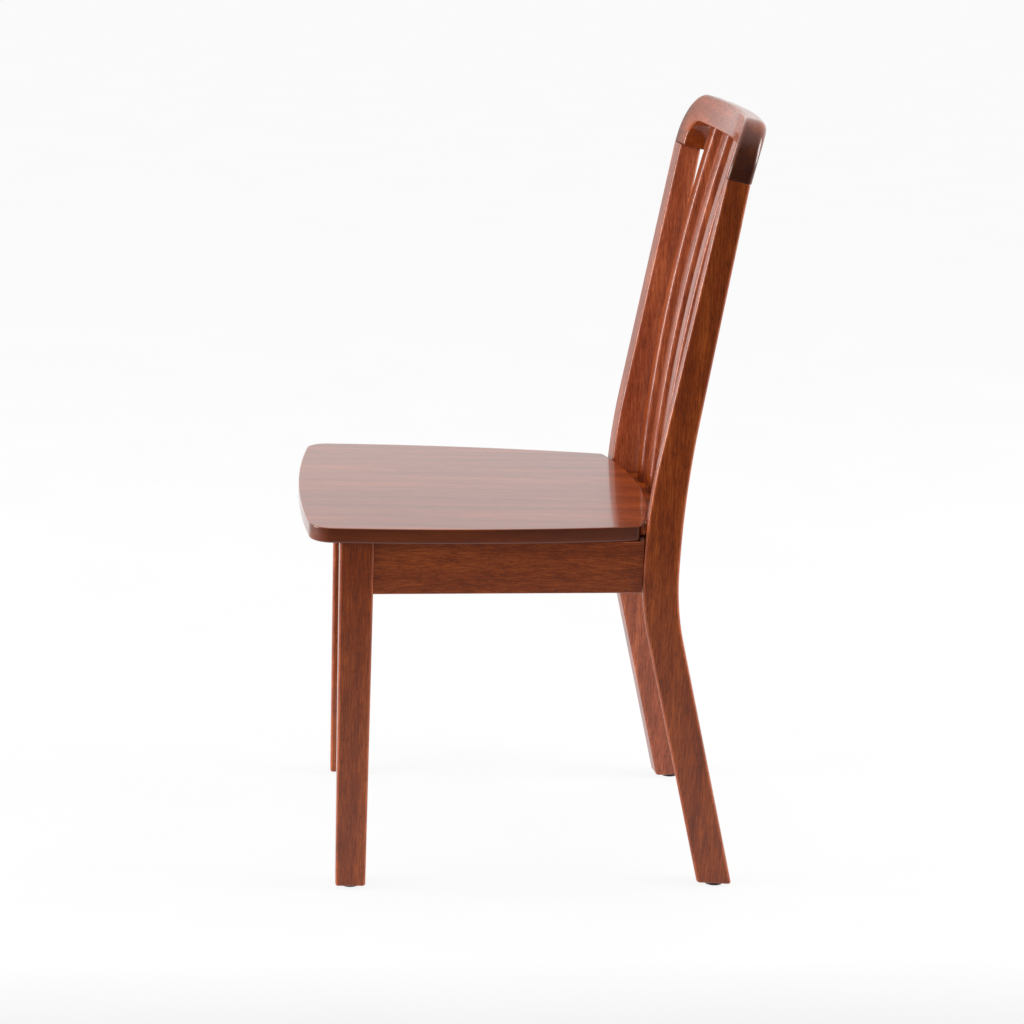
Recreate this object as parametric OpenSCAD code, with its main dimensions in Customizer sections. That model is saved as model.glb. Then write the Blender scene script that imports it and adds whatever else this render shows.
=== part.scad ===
// Slat-back dining chair in stained solid wood.
//
// Frame: +Z up, the sitter faces -Y, the sitter's left hand is on +X.
// The origin is the middle of the footprint, on the floor.
// Left and right are the sitter's.

/* [Overall] */
// Overall depth, from the front of the seat to the backs of the rear feet
depth = 536; // [525:1:555]
// Height of the top of the seat above the floor
seat_height = 450; // [440:1:470]
// Height of the rear posts where the crest rail sits, at their front edge
post_height = 861; // [845:1:875]

/* [Seat] */
// Widest width of the seat, a little behind its front corners
seat_width = 418; // [412:1:440]
// Thickness of the seat panel
seat_thickness = 18; // [16:1:22]
// How far the panel runs back, from its front edge to the middle of its back edge
seat_depth = 425; // [418:1:427]
// Radius of the front corners, seen from above
seat_corner_radius = 28; // [15:1:40]
// Radius of the rear corners, seen from above
seat_rear_radius = 8; // [6:1:28]

/* [Legs] */
// Distance between the outer faces of the front legs
front_leg_spread = 410; // [400:1:416]
// Thickness of a front leg at its top, both ways
front_leg_top = 40; // [36:1:44]
// Thickness of a front leg at its foot, both ways
front_leg_foot = 36; // [30:1:38]
// How far the seat's front edge overhangs the front faces of the feet
front_overhang = 51; // [40:1:60]
// Distance between the outer faces of the rear legs, at their front edges
rear_leg_spread = 367; // [360:1:375]
// Thickness of a rear leg, from side to side
rear_leg_thickness = 30; // [26:1:34]
// Depth of a rear leg where the aprons meet it
rear_leg_depth = 43; // [40:0.5:45]
// Angle at which the rear feet run back, in degrees
foot_splay = 14; // [11:0.5:15]
// Angle at which each rear leg is turned to face the middle of the back, in degrees
leg_turn = 6.5; // [4:0.5:8]

/* [Back] */
// Distance between the middles of neighbouring slats
slat_pitch = 57; // [52:1:58]
// Width of a slat
slat_width = 29; // [22:1:34]
// Thickness of a slat
slat_thickness = 14.5; // [12:0.5:15]
// Height of the crest rail above the posts, at its middle
crest_height = 71; // [68:1:76]
// Thickness of the crest rail, from front to back
crest_thickness = 28; // [26:0.5:30]
// How far the middle of the crest rail bows back behind its ends
crest_bow = 24.5; // [20:0.5:28]

/* [Seat frame] */
// Height of the four aprons
apron_height = 63; // [55:1:70]
// Thickness of the front and side aprons
apron_thickness = 20; // [18:1:24]
// Diameter of the dowels
dowel_d = 8; // [6:1:10]

/* [Feet] */
// Diameter of a foot glide
glide_d = 24; // [20:1:28]
// Thickness of a foot glide below the wood
glide_h = 4; // [3:0.5:6]

/* [Hidden] */

$fn = 48;
left = 1;
right = -1;
big = 600; // Longer than any piece, for cutting planes
snug = 0.1; // Room all round a dowel, screw, nail or tenon

stain = "#6b3119";
stain_seat = "#7d3d24";
bare_wood = "#b98a5a";
steel = "#9a9a9a";
black = "#161616";

wood_bottom = glide_h;
apron_top = seat_height - seat_thickness;
apron_bottom = apron_top - apron_height;

// Distance out from a vertical line, at a run past the start of a bend of radius r to an angle
function bend_out(r, angle, run) = r * (1 - cos(angle)) + (run - r * sin(angle)) * tan(angle);

// Rear leg, seen from the side: upright at its waist, it bends back below to the foot
// and above to the raked post, at other radii along its front than along its back.
waist = seat_height - 58;
foot_bend_front = 320;
foot_bend_rear = 355;
post_bend_front = 850;
post_bend_rear = 1310;
post_rake_front = 9.8;
post_rake_rear = 8.2;

// How far behind its upright front face the front and the back of a rear leg are
function foot_front(z) = bend_out(foot_bend_front, foot_splay, waist - z);
function foot_rear(z) = rear_leg_depth + bend_out(foot_bend_rear, foot_splay, waist - z);
function post_front(z) = bend_out(post_bend_front, post_rake_front, z - waist);
function post_rear(z) = rear_leg_depth + bend_out(post_bend_rear, post_rake_rear, z - waist);

// The upright front faces of the rear legs stand on this line
rail_y = depth / 2 - foot_rear(wood_bottom) * cos(leg_turn) - rear_leg_thickness * sin(leg_turn);
// Where the inner face of a rear leg lies, at a distance behind that line
function rear_inner_x(back) =
    rear_leg_spread / 2 - rear_leg_thickness / cos(leg_turn) + back * tan(leg_turn);

// Front legs
front_leg_y = -depth / 2 + front_overhang;
front_leg_back = front_leg_y + front_leg_foot;
front_leg_inner = front_leg_spread / 2 - front_leg_top;

// Crest rail. Its own frame starts on top of the posts: X across, Y back, Z up the rake.
crest_rake = 12.4;
crest_y = rail_y + post_front(post_height) * cos(leg_turn);
post_outer = rear_leg_spread / 2 + post_front(post_height) * sin(leg_turn);
post_inner = post_outer - rear_leg_thickness * cos(leg_turn);
crest_half = post_outer + 1.5;
crest_bow_radius = (pow(crest_half, 2) + pow(crest_bow, 2)) / (2 * crest_bow);
crest_crown = 3; // How far the top drops from the middle to the ends
crest_crown_radius = (pow(crest_half, 2) + pow(crest_crown, 2)) / (2 * crest_crown);
crest_shoulder = 58; // Radius of the upper corners
crest_arch_height = 35; // Height of the arch between the ears
crest_arch_radius = 28;
crest_front_round = 6; // Radius of the upper front edge
crest_rear_round = 13; // Radius of the upper rear edge
// How far back the front face of the crest rail lies, at a distance from the middle
function crest_front(x) = crest_bow - crest_bow_radius + sqrt(pow(crest_bow_radius, 2) - x * x);

// Rear apron
rear_apron_thickness = 36;
rear_apron_bow_radius = 1500;
rear_apron_back = rail_y + rear_leg_depth + 10.5;
function rear_apron_sag(x) = rear_apron_bow_radius - sqrt(pow(rear_apron_bow_radius, 2) - x * x);

// Slats, each bent to one radius and leaning as the crest rail and rear apron ask
slat_count = 5;
slat_bend = 2100;
slat_tenon = 12;
slat_shoulder = 2.5;
slat_setback = 12.5; // Behind the front face of the crest rail
slat_foot_margin = 1; // In front of the back of the rear apron
function slat_x(i) = (i - (slat_count + 1) / 2) * slat_pitch;
function slat_foot(i) = [rear_apron_back - rear_apron_sag(slat_x(i)) - slat_foot_margin - slat_thickness,
    apron_top];
function slat_head(i) = let (back = crest_front(slat_x(i)) + slat_setback)
    [crest_y + back * cos(crest_rake) + crest_arch_height * sin(crest_rake),
     post_height - back * sin(crest_rake) + crest_arch_height * cos(crest_rake)];

// Side aprons run from the front legs to the rear legs and close in a little on the way
side_apron_inset_front = 3.5;
side_apron_inset_rear = 1.5;
function side_apron_x(y) = let (x0 = front_leg_spread / 2 - side_apron_inset_front,
    x1 = rear_leg_spread / 2 - side_apron_inset_rear)
    x0 + (x1 - x0) * (y - front_leg_back) / (rail_y - front_leg_back);
front_apron_inset = 4;
front_apron_y = front_leg_y + front_apron_inset;

// Corner blocks
block_leg = 52;
block_height = apron_height - 17;
block_bottom = apron_top - block_height;
block_gap = 3; // Between a block and the legs

// Dowels, screws and nails
dowel_length = 36;
dowel_heights = [apron_bottom + 0.27 * apron_height, apron_bottom + 0.73 * apron_height];
crest_dowel_spacing = 13;
lag_d = 6;
lag_length = 58;
lag_z = apron_bottom + apron_height / 2;
seat_screw_d = 4;
seat_screw_bite = 12; // How far a seat screw enters the seat
nail_d = 3;
nail_length = 16;

// ---- Outlines ----

function angle_of(v) = atan2(v[1], v[0]);
function backwards(list) = [for (i = [len(list) - 1 : -1 : 0]) list[i]];
function flipped(list) = [for (p = backwards(list)) if (abs(p[0]) > 0.001) [-p[0], p[1]]];
// Points along an arc, without its last one
function arc(c, r, a0, a1, n) =
    [for (i = [0 : n - 1]) let (a = a0 + (a1 - a0) * i / n) c + r * [cos(a), sin(a)]];
// Where two circles meet, on the left of the way from the first centre to the second
function circles_meet(c1, r1, c2, r2) =
    let (d = norm(c2 - c1), u = (c2 - c1) / d, a = (r1 * r1 - r2 * r2 + d * d) / (2 * d))
    c1 + a * u + sqrt(r1 * r1 - a * a) * [-u[1], u[0]];

// Seat from above: four shallow arcs with rounded corners between them
module seat_outline() {
    front_r = 1500;
    side_r = 1780;
    back_r = 640;
    corner_r = seat_corner_radius;
    rear_r = seat_rear_radius;
    front_c = [0, -depth / 2 + front_r];
    side_c = [seat_width / 2 - side_r, -depth / 2 + 80];
    back_c = [0, -depth / 2 + seat_depth - back_r];
    front_corner = circles_meet(front_c, front_r - corner_r, side_c, side_r - corner_r);
    back_corner = circles_meet(side_c, side_r - rear_r, back_c, back_r - rear_r);
    a1 = angle_of(front_corner - front_c);
    a2 = angle_of(front_corner - side_c);
    a3 = angle_of(back_corner - side_c);
    a4 = angle_of(back_corner - back_c);
    half = concat(
        arc(front_c, front_r, -90, a1, 6),
        arc(front_corner, corner_r, a1, a2, 8),
        arc(side_c, side_r, a2, a3, 10),
        arc(back_corner, rear_r, a3, a4, 8),
        arc(back_c, back_r, a4, 90, 8),
        [back_c + [0, back_r]]);
    polygon(concat(half, flipped(half)));
}

// Rear leg from the side: across is the distance behind its upright front face, up is height
module rear_leg_outline() {
    top = post_height + 20;
    front = concat(
        [[foot_front(wood_bottom), wood_bottom]],
        arc([foot_bend_front, waist], foot_bend_front, 180 + foot_splay, 180, 8),
        arc([post_bend_front, waist], post_bend_front, 180, 180 - post_rake_front, 10),
        [[post_front(top), top]]);
    back = concat(
        [[foot_rear(wood_bottom), wood_bottom]],
        arc([rear_leg_depth + foot_bend_rear, waist], foot_bend_rear, 180 + foot_splay, 180, 8),
        arc([rear_leg_depth + post_bend_rear, waist],
            post_bend_rear, 180, 180 - post_rake_rear, 10),
        [[post_rear(top), top]]);
    polygon(concat(front, backwards(back)));
}

// Crest rail from the front: a crowned top, round shoulders, and an arch between two ears
module crest_outline() {
    crown_c = [0, crest_height - crest_crown_radius];
    shoulder_x = crest_half - crest_shoulder;
    shoulder_c = [shoulder_x,
        crown_c[1] + sqrt(pow(crest_crown_radius - crest_shoulder, 2) - pow(shoulder_x, 2))];
    arch_c = [post_inner - crest_arch_radius, crest_arch_height - crest_arch_radius];
    a = angle_of(shoulder_c - crown_c);
    half = concat(
        [[0, crest_arch_height]],
        arc(arch_c, crest_arch_radius, 90, 0, 8),
        [arch_c + [crest_arch_radius, 0], [post_inner, 0], [crest_half, 0]],
        arc(shoulder_c, crest_shoulder, 0, a, 8),
        arc(crown_c, crest_crown_radius, a, 90, 8),
        [[0, crest_height]]);
    polygon(concat(half, flipped(half)));
}

// ---- Frames and cutting shapes ----

// At the front outer edge of a rear leg's upright stretch, turned with the leg
module at_rear_leg(side) {
    translate([side * rear_leg_spread / 2, rail_y, 0])
        rotate([0, 0, -side * leg_turn])
            children();
}

module at_crest() {
    translate([0, crest_y, post_height])
        rotate([-crest_rake, 0, 0])
            children();
}

// Everything above a height in the crest rail's frame
module above_crest(height) {
    at_crest()
        translate([-big / 2, -big / 2, height]) cube(big);
}

// The space a front leg's upper end fills, so that what meets it can be cut to fit
module front_leg_prism(side, back) {
    translate([side * front_leg_spread / 2, back, 0])
        rotate([90, 0, 0])
            linear_extrude(big)
                polygon([for (p = [[0, wood_bottom], [front_leg_foot, wood_bottom],
                    [front_leg_top, apron_top], [0, apron_top]]) [-side * p[0], p[1]]]);
}

// ---- Fixings ----

module rod(d, length, room) {
    cylinder(d = d + 2 * room, h = length + 2 * room, center = true);
}

module apron_dowels_on(side, room) {
    front_mid = front_apron_y + apron_thickness / 2;
    rear_mid = rear_apron_back - rear_apron_sag(post_inner) - rear_apron_thickness / 2;
    for (z = dowel_heights) {
        translate([side * front_leg_inner, front_mid, z])
            rotate([0, 90, 0]) rod(dowel_d, dowel_length, room);
        translate([side * (side_apron_x(front_leg_back) - apron_thickness / 2), front_leg_back, z])
            rotate([90, 0, 0]) rod(dowel_d, dowel_length, room);
        translate([side * (side_apron_x(rail_y) - apron_thickness / 2), rail_y, z])
            rotate([90, 0, 0]) rod(dowel_d, dowel_length, room);
        translate([side * rear_inner_x(rear_mid - rail_y), rear_mid, z])
            rotate([0, 90, 0]) rod(dowel_d, dowel_length, room);
    }
}

module crest_dowels_on(side, room) {
    at_crest()
        for (x = [-1, 1] * crest_dowel_spacing / 2)
            translate([side * (post_outer + post_inner) / 2 + x, crest_thickness / 2, 0])
                rod(dowel_d, dowel_length, room);
}

// A screw that starts at the origin, head first, and runs up
module screw(d, length, room) {
    head_d = 2 * d;
    head_h = 0.6 * d;
    cylinder(d = head_d + 2 * room, h = head_h);
    cylinder(d = d + 2 * room, h = length + room);
}

// One screw a corner block, from the middle of its slanted face into the leg
module lag_on(side, front, room) {
    target = front ? [front_leg_inner, front_leg_back] : [rear_inner_x(0), rail_y];
    back = front ? 1 : -1;
    start = target + 27 * [-1, back] / sqrt(2);
    heading = atan2(-back, side);
    translate([side * start[0], start[1], lag_z])
        rotate([0, 0, heading]) rotate([0, 90, 0])
            screw(lag_d, lag_length, room);
}

module seat_screw_on(side, front, room) {
    x = (front ? front_leg_inner : rear_inner_x(0)) - 32;
    y = front ? front_apron_y + apron_thickness + 14 : rail_y + 4;
    translate([side * x, y, block_bottom])
        screw(seat_screw_d, block_height + seat_screw_bite, room);
}

module at_foot(side, front) {
    if (front)
        translate([side * (front_leg_spread - front_leg_foot) / 2, front_leg_y + front_leg_foot / 2, 0])
            children();
    else
        at_rear_leg(side)
            translate([-side * rear_leg_thickness / 2,
                (foot_front(wood_bottom) + foot_rear(wood_bottom)) / 2, 0])
                children();
}

module nail_on(side, front, room) {
    at_foot(side, front) {
        translate([0, 0, 1]) cylinder(d = 3 * nail_d + 2 * room, h = 1);
        translate([0, 0, 1]) cylinder(d = nail_d + 2 * room, h = nail_length + room);
    }
}

// ---- Seat ----

module seat_panel() {
    color(stain_seat)
        difference() {
            translate([0, 0, apron_top])
                linear_extrude(seat_thickness) seat_outline();
            for (side = [left, right], front = [true, false]) seat_screw_on(side, front, snug);
        }
}

// ---- Legs ----

// The front and inner faces taper to the foot; the outer and back faces are upright
module front_leg(side) {
    taper = front_leg_top - front_leg_foot;
    color(stain)
        difference() {
            intersection() {
                front_leg_prism(side, front_leg_back);
                translate([-big / 2, 0, 0])
                    rotate([90, 0, 90])
                        linear_extrude(big)
                            polygon([[front_leg_y, wood_bottom], [front_leg_back, wood_bottom],
                                [front_leg_back, apron_top], [front_leg_y - taper, apron_top]]);
            }
            apron_dowels_on(side, snug);
            lag_on(side, true, snug);
            nail_on(side, true, snug);
        }
}

module rear_leg(side) {
    color(stain)
        difference() {
            at_rear_leg(side)
                translate([side == left ? -rear_leg_thickness : 0, 0, 0])
                    rotate([90, 0, 90])
                        linear_extrude(rear_leg_thickness) rear_leg_outline();
            above_crest(0);
            apron_dowels_on(side, snug);
            crest_dowels_on(side, snug);
            lag_on(side, false, snug);
            nail_on(side, false, snug);
        }
}

// ---- Seat frame ----

module front_apron() {
    color(stain)
        difference() {
            translate([-front_leg_spread / 2 + 5, front_apron_y, apron_bottom])
                cube([front_leg_spread - 10, apron_thickness, apron_height]);
            for (side = [left, right]) {
                front_leg_prism(side, front_leg_back);
                apron_dowels_on(side, snug);
            }
        }
}

module side_apron(side) {
    overrun = 3; // Past the line of the rear leg, which is turned, so the end is cut to fit it
    corners = [[front_leg_back, 0], [rail_y + overrun, 0],
        [rail_y + overrun, apron_thickness], [front_leg_back, apron_thickness]];
    color(stain)
        difference() {
            translate([0, 0, apron_bottom])
                linear_extrude(apron_height)
                    polygon([for (p = corners) [side * (side_apron_x(p[0]) - p[1]), p[0]]]);
            at_rear_leg(side)
                translate([-big / 2, 0, 0]) cube(big);
            apron_dowels_on(side, snug);
        }
}

module rear_apron_band() {
    translate([0, rear_apron_back - rear_apron_bow_radius, apron_bottom])
        difference() {
            cylinder(r = rear_apron_bow_radius, h = apron_height, $fn = 720);
            translate([0, 0, -1])
                cylinder(r = rear_apron_bow_radius - rear_apron_thickness, h = apron_height + 2, $fn = 720);
        }
}

module rear_apron() {
    reach = 100;
    color(stain)
        difference() {
            intersection() {
                rear_apron_band();
                linear_extrude(seat_height)
                    polygon([for (p = [[-1, 0], [1, 0], [1, reach], [-1, reach]])
                        [p[0] * rear_inner_x(p[1]), rail_y + p[1]]]);
            }
            for (i = [1 : slat_count]) slat_stick(i, slat_shoulder - snug, slat_tenon + snug);
            for (side = [left, right]) apron_dowels_on(side, snug);
        }
}

module corner_block(side, front) {
    back = front ? 1 : -1;
    wall = front ? front_apron_y + apron_thickness : rail_y + 30;
    inner = (front ? front_leg_inner : rear_inner_x(0)) - block_gap;
    near = (front ? front_leg_back : rail_y) + back * block_gap;
    far = near + back * block_leg;
    corners = [[inner - block_leg, wall], [inner, wall], [inner, near],
        [side_apron_x(near) - apron_thickness, near],
        [side_apron_x(far) - apron_thickness, far], [inner - block_leg, front ? wall : rail_y + 12]];
    color(stain)
        difference() {
            translate([0, 0, block_bottom])
                linear_extrude(block_height)
                    polygon([for (p = corners) [side * p[0], p[1]]]);
            if (!front) rear_apron_band();
            lag_on(side, front, snug);
            seat_screw_on(side, front, snug);
        }
}

// ---- Back ----

// A slat's curved strip, inset all round, and running past its shoulders at both ends
module slat_stick(i, inset, past) {
    c = circles_meet(slat_head(i), slat_bend, slat_foot(i), slat_bend);
    width = slat_width - 2 * inset;
    difference() {
        translate([slat_x(i), c[0], c[1]])
            rotate([0, 90, 0]) cylinder(r = slat_bend - inset / 2, h = width, center = true, $fn = 720);
        translate([slat_x(i), c[0], c[1]])
            rotate([0, 90, 0])
                cylinder(r = slat_bend - slat_thickness + inset / 2, h = width + 2, center = true, $fn = 720);
        translate([-big / 2, -big, apron_top - past - 4 * slat_bend]) cube([big, 12 * big, 4 * slat_bend]);
        translate([-big / 2, 0, 0]) at_crest()
            translate([0, -big, crest_arch_height + past]) cube([big, 12 * big, 4 * slat_bend]);
    }
}

module slat(i) {
    color(stain)
        union() {
            slat_stick(i, 0, 0);
            slat_stick(i, slat_shoulder, slat_tenon);
        }
}

// The crest rail's section at its middle, as distance back and height, with rounded upper edges
module crest_section() {
    below = 1; // The ring starts a little below the rail, and the front outline trims it
    front_c = [crest_front_round, crest_height - crest_front_round];
    rear_c = [crest_thickness - crest_rear_round, crest_height - crest_rear_round];
    polygon(concat(
        [[0, -below], [crest_thickness, -below]],
        arc(rear_c, crest_rear_round, 0, 90, 8),
        [rear_c + [0, crest_rear_round]],
        arc(front_c, crest_front_round, 90, 180, 6),
        [front_c - [crest_front_round, 0]]));
}

module crest_rail() {
    color(stain)
        difference() {
            at_crest()
                intersection() {
                    translate([0, crest_bow - crest_bow_radius, 0])
                        rotate_extrude($fn = 720)
                            translate([crest_bow_radius, 0]) crest_section();
                    translate([0, big / 2, 0])
                        rotate([90, 0, 0]) linear_extrude(big) crest_outline();
                }
            for (side = [left, right]) crest_dowels_on(side, snug);
            for (i = [1 : slat_count]) slat_stick(i, slat_shoulder - snug, slat_tenon + snug);
        }
}

// ---- Groups of like fixings ----

module apron_dowels() {
    color(bare_wood)
        for (side = [left, right]) apron_dowels_on(side, 0);
}

module crest_dowels() {
    color(bare_wood)
        for (side = [left, right]) crest_dowels_on(side, 0);
}

module corner_block_screws() {
    color(steel)
        for (side = [left, right], front = [true, false]) lag_on(side, front, 0);
}

module seat_screws() {
    color(steel)
        for (side = [left, right], front = [true, false]) seat_screw_on(side, front, 0);
}

module glide_nails() {
    color(steel)
        for (side = [left, right], front = [true, false]) nail_on(side, front, 0);
}

// ---- Feet ----

module foot_glide(side, front) {
    edge = 1; // Bevel round the foot of the glide
    color(black)
        difference() {
            at_foot(side, front)
                rotate_extrude()
                    polygon([[0, 0], [glide_d / 2 - edge, 0], [glide_d / 2, edge],
                        [glide_d / 2, glide_h], [0, glide_h]]);
            nail_on(side, front, snug);
            at_foot(side, front) translate([0, 0, -1]) cylinder(d = 3 * nail_d + 2 * snug, h = 2);
        }
}

seat_panel();
front_leg(left);  // front_leg_left
front_leg(right);  // front_leg_right
rear_leg(left);  // rear_leg_left
rear_leg(right);  // rear_leg_right
front_apron();
side_apron(left);  // side_apron_left
side_apron(right);  // side_apron_right
rear_apron();
crest_rail();
slat(1);  // slat_1
slat(2);  // slat_2
slat(3);  // slat_3
slat(4);  // slat_4
slat(5);  // slat_5
corner_block(left, true);  // corner_block_front_left
corner_block(right, true);  // corner_block_front_right
corner_block(left, false);  // corner_block_rear_left
corner_block(right, false);  // corner_block_rear_right
apron_dowels();
crest_dowels();
corner_block_screws();
seat_screws();
foot_glide(left, true);  // foot_glide_front_left
foot_glide(right, true);  // foot_glide_front_right
foot_glide(left, false);  // foot_glide_rear_left
foot_glide(right, false);  // foot_glide_rear_right
glide_nails();
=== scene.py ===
from math import atan2, cos, pi, radians, sin, sqrt, tan

import bmesh
import bpy
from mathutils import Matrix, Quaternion, Vector


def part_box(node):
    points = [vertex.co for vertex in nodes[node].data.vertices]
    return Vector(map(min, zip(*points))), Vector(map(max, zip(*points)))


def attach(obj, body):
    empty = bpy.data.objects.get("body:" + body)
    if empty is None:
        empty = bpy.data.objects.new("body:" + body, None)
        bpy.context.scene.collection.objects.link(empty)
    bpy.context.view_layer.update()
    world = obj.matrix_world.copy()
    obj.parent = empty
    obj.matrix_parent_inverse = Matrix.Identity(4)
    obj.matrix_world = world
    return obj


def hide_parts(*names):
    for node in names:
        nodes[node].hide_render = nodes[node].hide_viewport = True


# Slat-back dining chair: the seat, legs, aprons, slats, crest rail and glides are built again
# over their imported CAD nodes, with rounded edges and a grain of their own. The other nodes only
# get materials. Metres, +Z up, the sitter faces -Y, +X is on the left.

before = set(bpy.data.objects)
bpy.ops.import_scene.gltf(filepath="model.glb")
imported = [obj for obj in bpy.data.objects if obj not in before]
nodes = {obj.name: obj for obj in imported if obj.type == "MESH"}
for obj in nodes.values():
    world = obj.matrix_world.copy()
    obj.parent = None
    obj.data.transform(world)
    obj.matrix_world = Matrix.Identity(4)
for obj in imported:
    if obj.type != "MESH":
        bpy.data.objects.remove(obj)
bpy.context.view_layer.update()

LEFT, RIGHT = 1, -1
MM = 0.001

# ---- Shapes that part.scad gives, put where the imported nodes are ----

seat_low, seat_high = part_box("seat_panel")
leg_low, leg_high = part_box("rear_leg_left")
front_low, front_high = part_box("front_leg_left")
side_low, side_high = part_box("side_apron_left")
rear_rail_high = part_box("rear_apron")[1]
front_rail_low, front_rail_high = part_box("front_apron")

WOOD_BOTTOM = leg_low.z
APRON_BOTTOM, APRON_TOP = side_low.z, side_high.z

FRONT_TOP = 40 * MM              # thickness of a front leg at its top and at its foot
FRONT_FOOT = 36 * MM

TURN = radians(6.5)              # each rear leg faces the middle of the back
LEG_THICKNESS = 30 * MM
LEG_DEPTH = 43 * MM
WAIST = seat_high.z - 58 * MM    # the height at which a rear leg is upright
FOOT_SPLAY = radians(14)
FOOT_FRONT_R, FOOT_REAR_R = 320 * MM, 355 * MM
POST_FRONT_R, POST_REAR_R = 850 * MM, 1310 * MM
POST_FRONT_RAKE, POST_REAR_RAKE = radians(9.8), radians(8.2)
POST_HEIGHT = 861 * MM

CREST_RAKE = radians(12.4)
CREST_HEIGHT, CREST_THICKNESS = 71 * MM, 28 * MM
CREST_BOW, CREST_CROWN = 24.5 * MM, 3 * MM
CREST_SHOULDER = 58 * MM
ARCH_HEIGHT, ARCH_R = 35 * MM, 28 * MM

SLAT_PITCH, SLAT_WIDTH, SLAT_THICKNESS = 57 * MM, 29 * MM, 14.5 * MM
SLAT_R = 2100 * MM
SLAT_SETBACK, SLAT_FOOT_MARGIN = 12.5 * MM, 1 * MM

REAR_RAIL_THICKNESS, REAR_RAIL_R = 36 * MM, 1500 * MM
SIDE_THICKNESS = 20 * MM
SIDE_SETBACK = 1.5 * MM          # of a side apron, from the outer face of a rear leg

SEAT_FRONT_R, SEAT_SIDE_R, SEAT_BACK_R = 1500 * MM, 1780 * MM, 640 * MM
SEAT_CORNER_R, SEAT_REAR_CORNER_R = 28 * MM, 8 * MM
SEAT_WIDEST = 80 * MM            # behind the front edge

# Radii of the rounded edges, and how much lighter (or darker, below 0) the wood is in places: real stain
# and wear, with painted highlight on the edges and painted light on some faces
LEG_EDGE, POST_EDGE, SLAT_EDGE, RAIL_EDGE = 3.5 * MM, 4 * MM, 4.5 * MM, 1.5 * MM
REAR_RAIL_EDGE = 1.2 * MM
FOOT_EDGE = 2.5 * MM             # round the bottom of a leg
SEAT_UPPER_EDGE, SEAT_LOWER_EDGE = 1.3 * MM, 2.4 * MM
JOINT_EDGE = 0.7 * MM            # round the joint of a post and the crest rail
CREST_INNER_EDGE, CREST_FRONT_EDGE, CREST_FRONT_GROWTH = 3 * MM, 4 * MM, 5 * MM
CREST_REAR_EDGE, CREST_EAR_REAR_EDGE = 13 * MM, 4.5 * MM

# The rounded edges are lighter: partly worn stain, partly painted highlight.
WEAR_AND_HIGHLIGHT_EDGE_TONE, CREST_WEAR_AND_HIGHLIGHT_TONE = 0.35, 0.1
# Painted light: the inner faces of the rear legs and the sides of the slats are made lighter than their
# other faces.
PAINTED_LIGHT_FACE_TONE = 0.50            # inner faces of the rear legs, and sides of the slats
SEAT_TOP_TONE = 0.1
SEAT_EDGE_TONE, SEAT_EDGE_TONE_RISE = -0.28, -0.28
CREST_END_TONE = -0.75
FACE_MARGIN = 1 * MM             # this near to a face, a point counts as on it


def bend_out(radius, angle, run):
    """How far out from an upright line a bend has come, at a run past its start."""
    if run <= 0:
        return 0.0
    if run < radius * sin(angle):
        return radius - sqrt(radius ** 2 - run ** 2)
    return radius * (1 - cos(angle)) + (run - radius * sin(angle)) * tan(angle)


def leg_front(z):
    return (bend_out(FOOT_FRONT_R, FOOT_SPLAY, WAIST - z)
            + bend_out(POST_FRONT_R, POST_FRONT_RAKE, z - WAIST))


def leg_rear(z):
    return (LEG_DEPTH + bend_out(FOOT_REAR_R, FOOT_SPLAY, WAIST - z)
            + bend_out(POST_REAR_R, POST_REAR_RAKE, z - WAIST))


RAIL_Y = leg_low.y                                       # front of a rear leg, at the waist
LEG_X = leg_high.x - leg_rear(WOOD_BOTTOM) * sin(TURN)   # its outer front edge there
CREST_Y = RAIL_Y + leg_front(POST_HEIGHT) * cos(TURN)
POST_OUTER = LEG_X + leg_front(POST_HEIGHT) * sin(TURN)
POST_INNER = POST_OUTER - LEG_THICKNESS * cos(TURN)
CREST_HALF = POST_OUTER + 1.5 * MM
CREST_BOW_R = (CREST_HALF ** 2 + CREST_BOW ** 2) / (2 * CREST_BOW)
CREST_CROWN_R = (CREST_HALF ** 2 + CREST_CROWN ** 2) / (2 * CREST_CROWN)
REAR_RAIL_BACK = rear_rail_high.y


def rear_inner_x(y):
    """The inner face of a rear leg."""
    return LEG_X - LEG_THICKNESS / cos(TURN) + (y - RAIL_Y) * tan(TURN)


def crest_point(x, back, up):
    """A point in the frame of the crest rail: across, back from its front, up its rake."""
    return Vector((x, CREST_Y + back * cos(CREST_RAKE) + up * sin(CREST_RAKE),
                   POST_HEIGHT - back * sin(CREST_RAKE) + up * cos(CREST_RAKE)))


def crest_face(x, depth=0.0):
    """How far back the crest rail's bowed face is at x, at a depth into the wood."""
    return CREST_BOW - CREST_BOW_R + sqrt((CREST_BOW_R + depth) ** 2 - x ** 2)


def crest_plane(y, up):
    """The height of the plane across the crest rail's rake, at y."""
    return POST_HEIGHT + (up - (y - CREST_Y) * sin(CREST_RAKE)) / cos(CREST_RAKE)


def circles_meet(c1, r1, c2, r2):
    """Where two circles meet, on the left of the way from the first centre to the second."""
    gap = c2 - c1
    u = gap.normalized()
    a = (r1 ** 2 - r2 ** 2 + gap.length ** 2) / (2 * gap.length)
    return c1 + a * u + sqrt(r1 ** 2 - a ** 2) * Vector((-u.y, u.x))


def arc(centre, radius, start, stop, count):
    """Points along an arc, without its last one."""
    angles = [start + (stop - start) * i / count for i in range(count)]
    return [centre + radius * Vector((cos(a), sin(a))) for a in angles]


def angle_of(v):
    return atan2(v.y, v.x)


# ---- Meshes ----

LEAST_R = 0.1 * MM               # a corner is never sharper than this


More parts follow.
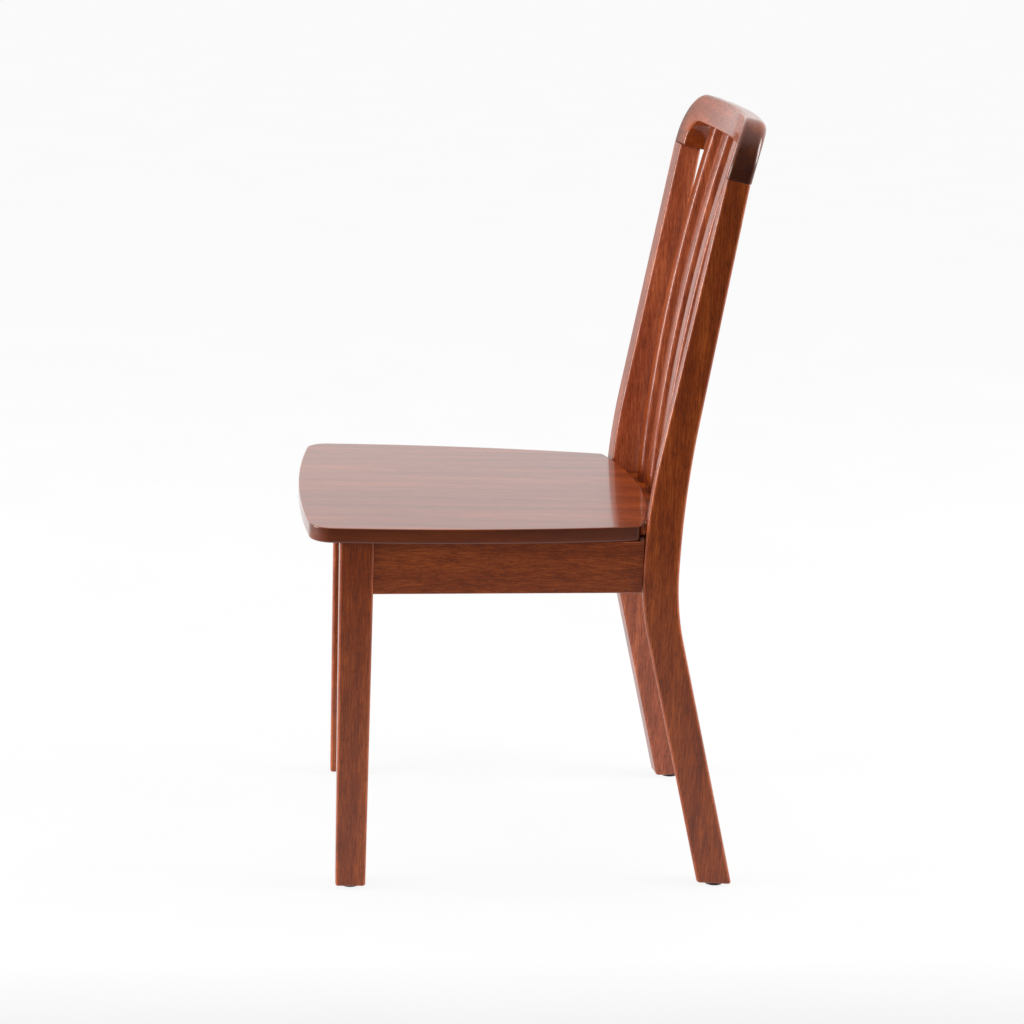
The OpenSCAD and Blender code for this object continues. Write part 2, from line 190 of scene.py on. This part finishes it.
def rounded_rectangle(width, depth, radii, inset, spans=1, steps=4):
    """Points round a rectangle from the origin, as (across, back, how far into a rounded edge).

    spans divides its first and third sides; steps divides each rounded corner.
    """
    corners = ((0, 0), (1, 0), (1, 1), (0, 1))
    points = []
    for i, (cx, cy) in enumerate(corners):
        r = max(radii[i] - inset, LEAST_R)
        x = inset + r if cx == 0 else width - inset - r
        y = inset + r if cy == 0 else depth - inset - r
        for k in range(steps + 1):
            a = pi + i * pi / 2 + k / steps * pi / 2
            points.append((x + r * cos(a), y + r * sin(a), sin(pi * k / steps)))
        if i % 2:
            continue
        next_r = max(radii[i + 1] - inset, LEAST_R)
        end = width - inset - next_r if i == 0 else inset + next_r
        y = inset if cy == 0 else depth - inset
        points += [(x + (end - x) * s / spans, y, 0.0) for s in range(1, spans)]
    return points


def stations(length, count, start_round, stop_round, steps=3):
    """Places along a bar, as (distance, inset), with its ends rounded over."""
    turns = [k / steps * pi / 2 for k in range(steps + 1)]
    start = [(start_round * (1 - sin(a)), start_round * (1 - cos(a))) for a in reversed(turns)]
    stop = [(length - stop_round * (1 - sin(a)), stop_round * (1 - cos(a))) for a in turns]
    first, last = start[-1][0], stop[0][0]
    middle = [(first + (last - first) * k / count, 0.0) for k in range(1, count)]
    return start + middle + stop


pieces_made = []
GRAIN_SHIFT = 0.61               # metres along each axis of the figure, from piece to piece


def solid(name, rings, tones, grain, material, node):
    """A closed mesh through rings of points, with the wood's own coordinates on its points.

    grain is the axis that the grain runs along; tones, one for each point, make the wood lighter (below 0,
    darker): real stain and wear, with painted light on some faces and edges.
    """
    mesh = bpy.data.meshes.new(name)
    count = len(rings[0])
    points = [p for ring in rings for p in ring]
    faces = []
    for i in range(len(rings) - 1):
        for k in range(count):
            n = (k + 1) % count
            faces.append((i * count + k, i * count + n, (i + 1) * count + n, (i + 1) * count + k))
    faces.append(tuple(range(count - 1, -1, -1)))
    faces.append(tuple(range(len(points) - count, len(points))))
    mesh.from_pydata(points, [], faces)
    bm = bmesh.new()
    bm.from_mesh(mesh)
    bmesh.ops.recalc_face_normals(bm, faces=bm.faces)
    bm.to_mesh(mesh)
    bm.free()
    for face in mesh.polygons:
        face.use_smooth = True
    i, j, k = {"X": (1, 2, 0), "Y": (0, 2, 1), "Z": (0, 1, 2)}[grain]
    shift = GRAIN_SHIFT * len(pieces_made)      # no two pieces are cut from the same wood
    wood_points = [(p[i] + shift, p[j] - shift, p[k] + shift) for p in points]
    figure = mesh.attributes.new("grain", "FLOAT_VECTOR", "POINT")
    figure.data.foreach_set("vector", [c for point in wood_points for c in point])
    tone = mesh.attributes.new("tone", "FLOAT", "POINT")
    tone.data.foreach_set("value", [t for ring in tones for t in ring])
    piece = bpy.data.objects.new(name, mesh)
    bpy.context.scene.collection.objects.link(piece)
    mesh.materials.append(material)
    weighted = piece.modifiers.new("flat_faces", "WEIGHTED_NORMAL")
    weighted.keep_sharp = True
    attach(piece, "root")
    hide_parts(node)
    pieces_made.append(piece)


def no_tone(*place):
    """Wood that took the stain evenly."""
    return 0.0


def bar(name, grain, places, size, place, radii, tone=no_tone, edge_wear_and_highlight=WEAR_AND_HIGHLIGHT_EDGE_TONE, spans=1):
    """A bar of stained wood, through a rounded rectangle at each of its places.

    places holds (t, inset); size(t) gives a rectangle's width and depth, place(a, b, t) its
    points, and tone(a, b, t) how much lighter the wood is there, on top of the edges, which are
    lighter partly for wear and partly for painted highlight.
    """
    rings, tones = [], []
    for t, inset in places:
        width, depth = size(t)
        r = radii(t) if callable(radii) else radii
        section = rounded_rectangle(width, depth, r, inset, spans)
        rings.append([place(a, b, t) for a, b, edge in section])
        tones.append([tone(a, b, t) + edge_wear_and_highlight * edge for a, b, edge in section])
    solid(name, rings, tones, grain, frame_wood, name.replace("visual_", ""))


# ---- Materials ----

class Shader:
    """Builds one material's nodes: add() makes a node and links or sets its inputs."""

    def __init__(self, name):
        self.material = bpy.data.materials.new(name)
        self.material.use_nodes = True
        self.tree = self.material.node_tree
        self.shading = self.tree.nodes["Principled BSDF"]

    def set(self, node, **inputs):
        """Links or sets inputs by name, or by number as i0, i1 and so on."""
        for key, value in inputs.items():
            name = int(key[1:]) if key[1:].isdigit() else key.replace("_", " ")
            socket = node.inputs[name]
            if isinstance(value, bpy.types.NodeSocket):
                self.tree.links.new(value, socket)
            else:
                socket.default_value = value
        return node

    def add(self, kind, settings=None, **inputs):
        node = self.tree.nodes.new("ShaderNode" + kind)
        for key, value in (settings or {}).items():
            setattr(node, key, value)
        return self.set(node, **inputs)

    def surface(self, **inputs):
        self.set(self.shading, **inputs)
        return self.material

    def noise(self, vector, scale, detail=2.0, roughness=0.5, distortion=0.0):
        return self.add("TexNoise", None, Vector=vector, Scale=scale, Detail=detail,
                        Roughness=roughness, Distortion=distortion).outputs["Fac"]

    def stretched(self, vector, across, along):
        """The vector in units of a feature's size across and along the grain."""
        return self.add("Mapping", None, Vector=vector,
                        Scale=(1 / across, 1 / across, 1 / along)).outputs["Vector"]

    def remap(self, value, low, high, to_low=0.0, to_high=1.0):
        return self.add("MapRange", {"clamp": True},
                        Value=value, i1=low, i2=high, i3=to_low, i4=to_high).outputs["Result"]

    def math(self, operation, a, b):
        return self.add("Math", {"operation": operation}, i0=a, i1=b).outputs[0]

    def mix(self, factor, a, b):
        return self.add("Mix", {"data_type": "RGBA"}, i0=factor, i6=a, i7=b).outputs[2]

    def ramp(self, factor, *stops):
        node = self.add("ValToRGB", None, Fac=factor)
        elements = node.color_ramp.elements
        for i, (position, colour) in enumerate(stops):
            element = elements[i] if i < 2 else elements.new(position)
            element.position = position
            element.color = (*colour, 1.0)
        return node.outputs["Color"]


# Sizes of the wood's features, across and along the grain
RINGS, STREAKS = (24 * MM, 420 * MM), (1.3 * MM, 26 * MM)
BLOTCHES, PORES = (16 * MM, 34 * MM), (0.5 * MM, 7 * MM)
BARE_STREAKS = (1.2 * MM, 20 * MM)


def wood(name, dark, middle, light, pore, roughness, coat, coat_roughness, fine=1.0, packed=False):
    """Wood with its figure, fine streaks and open pores along the grain, under a clear coat.

    pore is how dark the pores are, and fine how strong the streaks and blotches are. packed is
    for a CAD node, which has no grain of its own: it gets one that runs upwards.
    """
    s = Shader(name)
    if packed:
        grain = s.add("TexCoord").outputs["Object"]
    else:
        grain = s.add("Attribute", {"attribute_name": "grain"}).outputs["Vector"]
    tone = s.add("Attribute", {"attribute_name": "tone"}).outputs["Fac"]
    rings = s.noise(s.stretched(grain, *RINGS), 1.0, 3.0, 0.55, 0.6)
    streaks = s.noise(s.stretched(grain, *STREAKS), 1.0, 3.0, 0.65, 0.2)
    blotches = s.noise(s.stretched(grain, *BLOTCHES), 1.0, 4.0, 0.65)
    pores = s.remap(s.noise(s.stretched(grain, *PORES), 1.0, 1.0), 0.56, 0.68)
    pores = s.math("MULTIPLY", pores, s.remap(blotches, 0.35, 0.65, 1.0, 0.4))
    rings_share, streaks_share, blotches_share = 0.34, 0.44 * fine, 0.14 * fine
    depth = s.math("ADD", s.math("MULTIPLY", rings, rings_share),
                   s.math("MULTIPLY", streaks, streaks_share))
    depth = s.math("ADD", depth, s.math("MULTIPLY", blotches, blotches_share))
    even = 0.5 * (rings_share + streaks_share + blotches_share)
    spread = 0.15
    colour = s.ramp(s.remap(depth, even - spread, even + spread), (0.0, dark), (0.5, middle), (1.0, light))
    deep = tuple(0.30 * c for c in dark)
    colour = s.mix(s.math("MULTIPLY", pores, pore), colour, (*deep, 1.0))
    # The tone sets the colour's value and saturation: real stain and wear, with painted light on the paler
    # faces and painted highlight on the edges.
    colour = s.add("HueSaturation", None, Color=colour, Value=s.math("ADD", tone, 1.0),
                   Saturation=s.remap(tone, -0.65, 0.65, 1.12, 0.93)).outputs["Color"]
    height = s.math("SUBTRACT", s.math("MULTIPLY", streaks, 0.25), pores)
    bump = s.add("Bump", None, Height=height, Strength=0.22, Distance=0.12 * MM).outputs["Normal"]
    wave = s.math("ADD", s.noise(grain, 55.0, 2.0), s.math("MULTIPLY", pores, -0.05))
    coat_bump = s.add("Bump", None, Height=wave, Strength=0.1, Distance=0.35 * MM).outputs["Normal"]
    rough = s.remap(streaks, 0.3, 0.7, roughness + 0.05, roughness - 0.04)
    return s.surface(Base_Color=colour, Roughness=rough, Normal=bump, Specular_IOR_Level=0.08,
                     Coat_Weight=coat, Coat_Roughness=coat_roughness, Coat_Normal=coat_bump)


def raw_wood():
    """Unfinished hardwood, seen only where pieces are apart."""
    s = Shader("raw_wood")
    grain = s.add("TexCoord").outputs["Object"]
    streaks = s.noise(s.stretched(grain, *BARE_STREAKS), 1.0, 4.0, 0.65)
    colour = s.ramp(s.remap(streaks, 0.35, 0.65), (0.0, (0.34, 0.20, 0.10)), (1.0, (0.60, 0.42, 0.24)))
    bump = s.add("Bump", None, Height=streaks, Strength=0.3, Distance=0.15 * MM).outputs["Normal"]
    return s.surface(Base_Color=colour, Roughness=s.remap(streaks, 0.3, 0.7, 0.75, 0.6), Normal=bump)


def stain(share):
    """The dark, middle and light colours of the stain, at a share of their strength."""
    colours = ((0.105, 0.016, 0.0030), (0.245, 0.043, 0.0080), (0.46, 0.108, 0.024))
    return [tuple(share * c for c in colour) for colour in colours]


frame_wood = wood("stained_frame", *stain(0.95), 0.80, 0.45, 0.75, 0.13)
seat_wood = wood("stained_seat", *stain(0.85), 0.15, 0.40, 1.0, 0.10, 0.35)
block_wood = wood("stained_block", *stain(0.7), 0.80, 0.55, 0.3, 0.3, packed=True)
bare_wood = raw_wood()


def zinc():
    """Dull plated steel, for the screws and nails."""
    s = Shader("zinc")
    grain = s.add("TexCoord").outputs["Object"]
    patches = s.noise(grain, 700.0, 4.0, 0.65)
    colour = s.ramp(patches, (0.3, (0.42, 0.41, 0.38)), (0.75, (0.66, 0.65, 0.60)))
    scratches = s.noise(grain, 2600.0)
    bump = s.add("Bump", None, Height=scratches, Strength=0.2, Distance=0.05 * MM).outputs["Normal"]
    return s.surface(Base_Color=colour, Metallic=1.0, Roughness=s.remap(patches, 0.3, 0.7, 0.28, 0.48),
                     Normal=bump)


def black_plastic():
    """Moulded plastic with a little dust, for the glides."""
    s = Shader("black_plastic")
    grain = s.add("TexCoord").outputs["Object"]
    dust = s.noise(grain, 260.0, 5.0, 0.7)
    colour = s.ramp(dust, (0.35, (0.010, 0.010, 0.011)), (0.8, (0.045, 0.042, 0.040)))
    pits = s.noise(grain, 4200.0)
    bump = s.add("Bump", None, Height=pits, Strength=0.3, Distance=0.06 * MM).outputs["Normal"]
    return s.surface(Base_Color=colour, Roughness=s.remap(dust, 0.3, 0.7, 0.5, 0.7), Normal=bump)


steel = zinc()
plastic = black_plastic()

# ---- Seat ----

def seat_outline(inset):
    """Points round the seat, at an inset from its edge: bowed front, sides and back, as arcs."""
    front_c = Vector((0, seat_low.y + SEAT_FRONT_R))
    side_c = Vector((seat_high.x - SEAT_SIDE_R, seat_low.y + SEAT_WIDEST))
    back_c = Vector((0, seat_high.y - SEAT_BACK_R))
    front_corner = circles_meet(front_c, SEAT_FRONT_R - SEAT_CORNER_R, side_c, SEAT_SIDE_R - SEAT_CORNER_R)
    back_corner = circles_meet(side_c, SEAT_SIDE_R - SEAT_REAR_CORNER_R,
                               back_c, SEAT_BACK_R - SEAT_REAR_CORNER_R)
    a1 = angle_of(front_corner - front_c)
    a2 = angle_of(front_corner - side_c)
    a3 = angle_of(back_corner - side_c)
    a4 = angle_of(back_corner - back_c)
    half = (arc(front_c, SEAT_FRONT_R - inset, -pi / 2, a1, 12)
            + arc(front_corner, SEAT_CORNER_R - inset, a1, a2, 14)
            + arc(side_c, SEAT_SIDE_R - inset, a2, a3, 24)
            + arc(back_corner, SEAT_REAR_CORNER_R - inset, a3, a4, 14)
            + arc(back_c, SEAT_BACK_R - inset, a4, pi / 2, 16)
            + [back_c + Vector((0, SEAT_BACK_R - inset))])
    off_centre = [p for p in reversed(half) if abs(p.x) > 0.01 * MM]
    return half + [Vector((-p.x, p.y)) for p in off_centre]


def seat_panel():
    thickness = seat_high.z - seat_low.z
    top_starts = thickness - SEAT_UPPER_EDGE / 2
    rings, tones = [], []
    for t, inset in stations(thickness, 3, SEAT_LOWER_EDGE, SEAT_UPPER_EDGE, 5):
        tone = SEAT_TOP_TONE
        if t < top_starts:
            tone = SEAT_EDGE_TONE + SEAT_EDGE_TONE_RISE * t / thickness
        outline = seat_outline(inset)
        rings.append([Vector((p.x, p.y, seat_low.z + t)) for p in outline])
        tones.append([tone] * len(outline))
    for margin in (1 * MM, 3 * MM):      # rings that keep the flat top flat up to its edge
        outline = seat_outline(SEAT_UPPER_EDGE + margin)
        rings.append([Vector((p.x, p.y, seat_high.z)) for p in outline])
        tones.append([SEAT_TOP_TONE] * len(outline))
    solid("visual_seat_panel", rings, tones, "Y", seat_wood, "seat_panel")


# ---- Legs ----

def front_leg(side, name):
    height = front_high.z - front_low.z
    outer, rear = front_high.x, front_high.y

    def size(t):
        wide = FRONT_FOOT + (FRONT_TOP - FRONT_FOOT) * t / height
        return wide, wide

    def place(a, b, t):
        return Vector((side * (outer - a), rear - b, front_low.z + t))

    bar(name, "Z", stations(height, 12, FOOT_EDGE, 0.4 * MM), size, place, [LEG_EDGE] * 4)


def rear_leg(side, name):
    length = POST_HEIGHT - WOOD_BOTTOM

    def size(t):
        z = WOOD_BOTTOM + t
        return LEG_THICKNESS, leg_rear(z) - leg_front(z)

    def place(a, b, t):
        share = b / size(t)[1]
        top = POST_HEIGHT
        for _ in range(4):      # this line of the leg ends where the crest rail's plane cuts it
            back = leg_front(top) + share * (leg_rear(top) - leg_front(top))
            top = crest_plane(RAIL_Y + back * cos(TURN) + a * sin(TURN), 0.0)
        z = WOOD_BOTTOM + t / length * (top - WOOD_BOTTOM)
        back = leg_front(z) + share * (leg_rear(z) - leg_front(z))
        return Vector((side * (LEG_X + back * sin(TURN) - a * cos(TURN)),
                       RAIL_Y + back * cos(TURN) + a * sin(TURN), z))

    def tone(a, b, t):
        """Painted light: the inner face is made lighter than the outer one."""
        return PAINTED_LIGHT_FACE_TONE if a > LEG_THICKNESS - FACE_MARGIN else 0.0

    bar(name, "Z", stations(length, 70, FOOT_EDGE, JOINT_EDGE), size, place, [POST_EDGE] * 4, tone)


# ---- Seat frame ----

def front_apron():
    height = APRON_TOP - APRON_BOTTOM
    depth = front_rail_high.y - front_rail_low.y

    def leg_inner(z):
        up = (z - front_low.z) / (front_high.z - front_low.z)
        return front_high.x - FRONT_FOOT - (FRONT_TOP - FRONT_FOOT) * up

    def place(a, b, t):
        z = APRON_BOTTOM + a
        return Vector((t * leg_inner(z), front_rail_low.y + b, z))

    places = [(k / 2, 0.0) for k in range(-2, 3)]
    bar("visual_front_apron", "X", places, lambda t: (height, depth), place, [RAIL_EDGE] * 4)


def side_apron(side, name):
    height = APRON_TOP - APRON_BOTTOM
    front_x, rear_x = side_high.x, LEG_X - SIDE_SETBACK
    length = RAIL_Y - front_high.y

    def place(a, b, t):
        x = front_x + (rear_x - front_x) * t - b
        end = RAIL_Y + (LEG_X - x) * tan(TURN)
        return Vector((side * x, front_high.y + t * (end - front_high.y), APRON_BOTTOM + a))

    places = [(t / length, inset) for t, inset in stations(length, 8, 0.4 * MM, 0.4 * MM)]
    bar(name, "Y", places, lambda t: (height, SIDE_THICKNESS), place, [RAIL_EDGE] * 4)


def rear_apron():
    height = APRON_TOP - APRON_BOTTOM

    def place(a, b, t):
        y = REAR_RAIL_BACK
        for _ in range(4):
            x = t * rear_inner_x(y)
            sag = REAR_RAIL_R - sqrt(REAR_RAIL_R ** 2 - x ** 2)
            y = REAR_RAIL_BACK - sag - REAR_RAIL_THICKNESS + b
        return Vector((x, y, APRON_BOTTOM + a))

    places = [(-1 + k / 16, 0.0) for k in range(33)]
    bar("visual_rear_apron", "X", places, lambda t: (height, REAR_RAIL_THICKNESS), place,
        [REAR_RAIL_EDGE] * 4)


# ---- Back ----

def slat(i, name):
    x = (i - 3) * SLAT_PITCH
    sag = REAR_RAIL_R - sqrt(REAR_RAIL_R ** 2 - x ** 2)
    foot = Vector((REAR_RAIL_BACK - sag - SLAT_FOOT_MARGIN - SLAT_THICKNESS, APRON_TOP))
    head_at = crest_point(x, crest_face(x) + SLAT_SETBACK, ARCH_HEIGHT)
    head = Vector((head_at.y, head_at.z))
    centre = circles_meet(head, SLAT_R, foot, SLAT_R)
    length = head.y - foot.y

    def place(a, b, t):
        top = head.y
        for _ in range(4):      # the slat ends on the flat under the arch
            y = centre.x - sqrt((SLAT_R - b) ** 2 - (top - centre.y) ** 2)
            top = crest_plane(y, ARCH_HEIGHT)
        z = APRON_TOP + t / length * (top - APRON_TOP)
        y = centre.x - sqrt((SLAT_R - b) ** 2 - (z - centre.y) ** 2)
        return Vector((x - SLAT_WIDTH / 2 + a, y, z))

    def tone(a, b, t):
        """Painted light: the sides are made lighter than the front and the back."""
        return PAINTED_LIGHT_FACE_TONE if min(a, SLAT_WIDTH - a) < FACE_MARGIN else 0.0

    places = stations(length, 36, 0.2 * MM, 0.2 * MM)
    bar(name, "Z", places, lambda t: (SLAT_WIDTH, SLAT_THICKNESS), place, [SLAT_EDGE] * 4, tone)


def crest_path():
    """Pairs of points of the crest rail's outline, inner and outer, from one ear over to the other."""
    arch_c = Vector((POST_INNER - ARCH_R, ARCH_HEIGHT - ARCH_R))
    crown_c = Vector((0, CREST_HEIGHT - CREST_CROWN_R))
    shoulder_x = CREST_HALF - CREST_SHOULDER
    rise = sqrt((CREST_CROWN_R - CREST_SHOULDER) ** 2 - shoulder_x ** 2)
    shoulder_c = Vector((shoulder_x, crown_c.y + rise))
    turn = angle_of(shoulder_c - crown_c)
    pairs = [(Vector((POST_INNER, up)), Vector((CREST_HALF, up))) for up in (0.0, JOINT_EDGE, 3 * MM)]
    inner = arc(arch_c, ARCH_R, 0, pi / 2, 20)
    outer = arc(shoulder_c, CREST_SHOULDER, 0, turn, 20)
    pairs += list(zip(inner, outer))
    inner_start_x = arch_c.x
    outer_start_x = shoulder_c.x + CREST_SHOULDER * cos(turn)
    steps = 30
    for k in range(steps + 1):
        inner_x = inner_start_x * (1 - k / steps)
        outer_x = outer_start_x * (1 - k / steps)
        outer_y = crown_c.y + sqrt(CREST_CROWN_R ** 2 - outer_x ** 2)
        pairs.append((Vector((inner_x, ARCH_HEIGHT)), Vector((outer_x, outer_y))))
    mirrored = [(Vector((-i.x, i.y)), Vector((-o.x, o.y))) for i, o in reversed(pairs[:-1])]
    return pairs + mirrored


def crest_rail():
    path = crest_path()
    last = len(path) - 1
    places = [(k, JOINT_EDGE if k in (0, last) else 0.0) for k in range(last + 1)]

    def size(t):
        inner, outer = path[t]
        return (outer - inner).length, CREST_THICKNESS

    def place(a, b, t):
        inner, outer = path[t]
        p = inner + (outer - inner).normalized() * a
        return crest_point(p.x, crest_face(p.x, b), p.y)

    def radii(t):
        """Inner front, outer front, outer rear and inner rear edges.

        The rear edge is roundest along the top, and the front edge at the shoulders.
        """
        outer = path[t][1]
        out = min(1.0, abs(outer.x) / CREST_HALF) ** 4
        rear = CREST_REAR_EDGE * (1 - out) + CREST_EAR_REAR_EDGE * out
        front = CREST_FRONT_EDGE + CREST_FRONT_GROWTH * out * outer.y / CREST_HEIGHT
        return (CREST_INNER_EDGE, front, rear, CREST_INNER_EDGE)

    def tone(a, b, t):
        """The end grain at the ears took more stain."""
        inner, outer = path[t]
        end = (abs(outer.x) - (CREST_HALF - CREST_SHOULDER)) / CREST_SHOULDER
        return CREST_END_TONE * max(0.0, end) * a / (outer - inner).length

    bar("visual_crest_rail", "X", places, size, place, radii, tone, CREST_WEAR_AND_HIGHLIGHT_TONE, spans=4)


# ---- Feet ----

def glide(name):
    """A turned foot glide, with the recess for its nail."""
    low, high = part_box(name)
    middle = (low + high) / 2
    radius = (high.x - low.x) / 2
    profile = ((0.35, 0.9), (0.38, 0.15), (0.62, 0.02), (0.86, 0.0), (0.96, 0.12), (1.0, 0.35), (1.0, 0.98))
    height, around = high.z - low.z, 48
    angles = [2 * pi * k / around for k in range(around)]
    rings = []
    for share, up in profile:
        r = share * radius
        rings.append([Vector((middle.x + r * cos(a), middle.y + r * sin(a), low.z + up * height))
                      for a in angles])
    tones = [[0.0] * around for _ in rings]
    solid("visual_" + name, rings, tones, "Z", plastic, name)


seat_panel()
for side, word in ((LEFT, "left"), (RIGHT, "right")):
    front_leg(side, "visual_front_leg_" + word)
    rear_leg(side, "visual_rear_leg_" + word)
    side_apron(side, "visual_side_apron_" + word)
    glide("foot_glide_front_" + word)
    glide("foot_glide_rear_" + word)
front_apron()
rear_apron()
for i in range(1, 6):
    slat(i, f"visual_slat_{i}")
crest_rail()

for name, node in nodes.items():
    if "screws" in name or "nails" in name:
        finish = steel
    elif "block" in name:
        finish = block_wood
    else:
        finish = bare_wood
    for k in range(len(node.data.materials)):
        node.data.materials[k] = finish

# ---- Studio ----

SKY, CAMERA_SIDE = 1.08, 0.21        # brightness of the sky, and of its part behind the camera
TURN_STARTS, TURN_ENDS = 0.1, 0.75   # where one becomes the other, as a direction's X
FLOOR_GLOW, FLOOR_DIM = 0.885, 0.06  # the floor's own light, and what is left towards the camera
FADE_STARTS, FADE_ENDS = 0.4, 1.8    # metres along X
FLOOR_REACH = 40.0
CAMERA_AT, CAMERA_LENS = (2.8621, -0.2893, 1.1874), 84.2
CAMERA_PITCH, CAMERA_HEADING, CAMERA_ROLL = radians(-15.0), radians(5.71), radians(-2.42)


def floor():
    """A wide pale floor that glows, nearly free of shadows, and dims towards the camera."""
    s = Shader("floor")
    place = s.add("TexCoord").outputs["Object"]
    across = s.add("SeparateXYZ", None, Vector=place).outputs["X"]
    glow = s.remap(across, FADE_STARTS, FADE_ENDS, FLOOR_GLOW, FLOOR_DIM)
    mottle = s.noise(place, 3.0, 4.0)
    colour = s.ramp(mottle, (0.3, (0.075, 0.075, 0.075)), (0.7, (0.085, 0.085, 0.085)))
    s.surface(Base_Color=colour, Roughness=0.9, Specular_IOR_Level=0.0, Emission_Color=(1, 1, 1, 1),
              Emission_Strength=glow)
    mesh = bpy.data.meshes.new("floor")
    r = FLOOR_REACH
    mesh.from_pydata([(-r, -r, 0), (r, -r, 0), (r, r, 0), (-r, r, 0)], [], [(0, 1, 2, 3)])
    mesh.materials.append(s.material)
    ground = bpy.data.objects.new("floor", mesh)
    bpy.context.scene.collection.objects.link(ground)


def sky():
    """A white sky that is darker on the camera's side."""
    world = bpy.data.worlds.new("studio")
    bpy.context.scene.world = world
    world.use_nodes = True
    tree = world.node_tree
    background = tree.nodes["Background"]
    coordinate = tree.nodes.new("ShaderNodeTexCoord")
    split = tree.nodes.new("ShaderNodeSeparateXYZ")
    sides = tree.nodes.new("ShaderNodeMapRange")
    tree.links.new(coordinate.outputs["Generated"], split.inputs[0])
    tree.links.new(split.outputs["X"], sides.inputs["Value"])
    sides.interpolation_type = "SMOOTHSTEP"
    sides.inputs["From Min"].default_value = TURN_STARTS
    sides.inputs["From Max"].default_value = TURN_ENDS
    sides.inputs["To Min"].default_value = SKY
    sides.inputs["To Max"].default_value = CAMERA_SIDE
    background.inputs["Color"].default_value = (1, 1, 1, 1)
    tree.links.new(sides.outputs["Result"], background.inputs["Strength"])


def soft_light(name, at, watts):
    """A tall soft light that faces the middle of the chair."""
    data = bpy.data.lights.new(name, "AREA")
    data.shape = "RECTANGLE"
    data.size, data.size_y = 1.6, 1.8
    data.energy = watts
    light = bpy.data.objects.new(name, data)
    light.location = at
    aim = Vector((0, 0, 0.5)) - Vector(at)
    light.rotation_euler = aim.to_track_quat("-Z", "Y").to_euler()
    bpy.context.scene.collection.objects.link(light)


floor()
sky()
soft_light("front_left", (0.3, -3.2, 1.05), 120)
soft_light("behind", (0.2, 3.2, 1.5), 110)


def camera():
    """From the chair's left and a little in front, above the top of its back, looking down."""
    data = bpy.data.cameras.new("camera")
    data.lens = CAMERA_LENS
    data.sensor_width = 36
    view = bpy.data.objects.new("camera", data)
    view.location = CAMERA_AT
    pitch, heading, roll = CAMERA_PITCH, CAMERA_HEADING, CAMERA_ROLL
    forward = Vector((-cos(heading) * cos(pitch), sin(heading) * cos(pitch), sin(pitch)))
    view.rotation_mode = "QUATERNION"
    view.rotation_quaternion = Quaternion(forward, roll) @ forward.to_track_quat("-Z", "Y")
    bpy.context.scene.collection.objects.link(view)
    bpy.context.scene.camera = view


camera()
bpy.context.scene.view_settings.view_transform = "Standard"
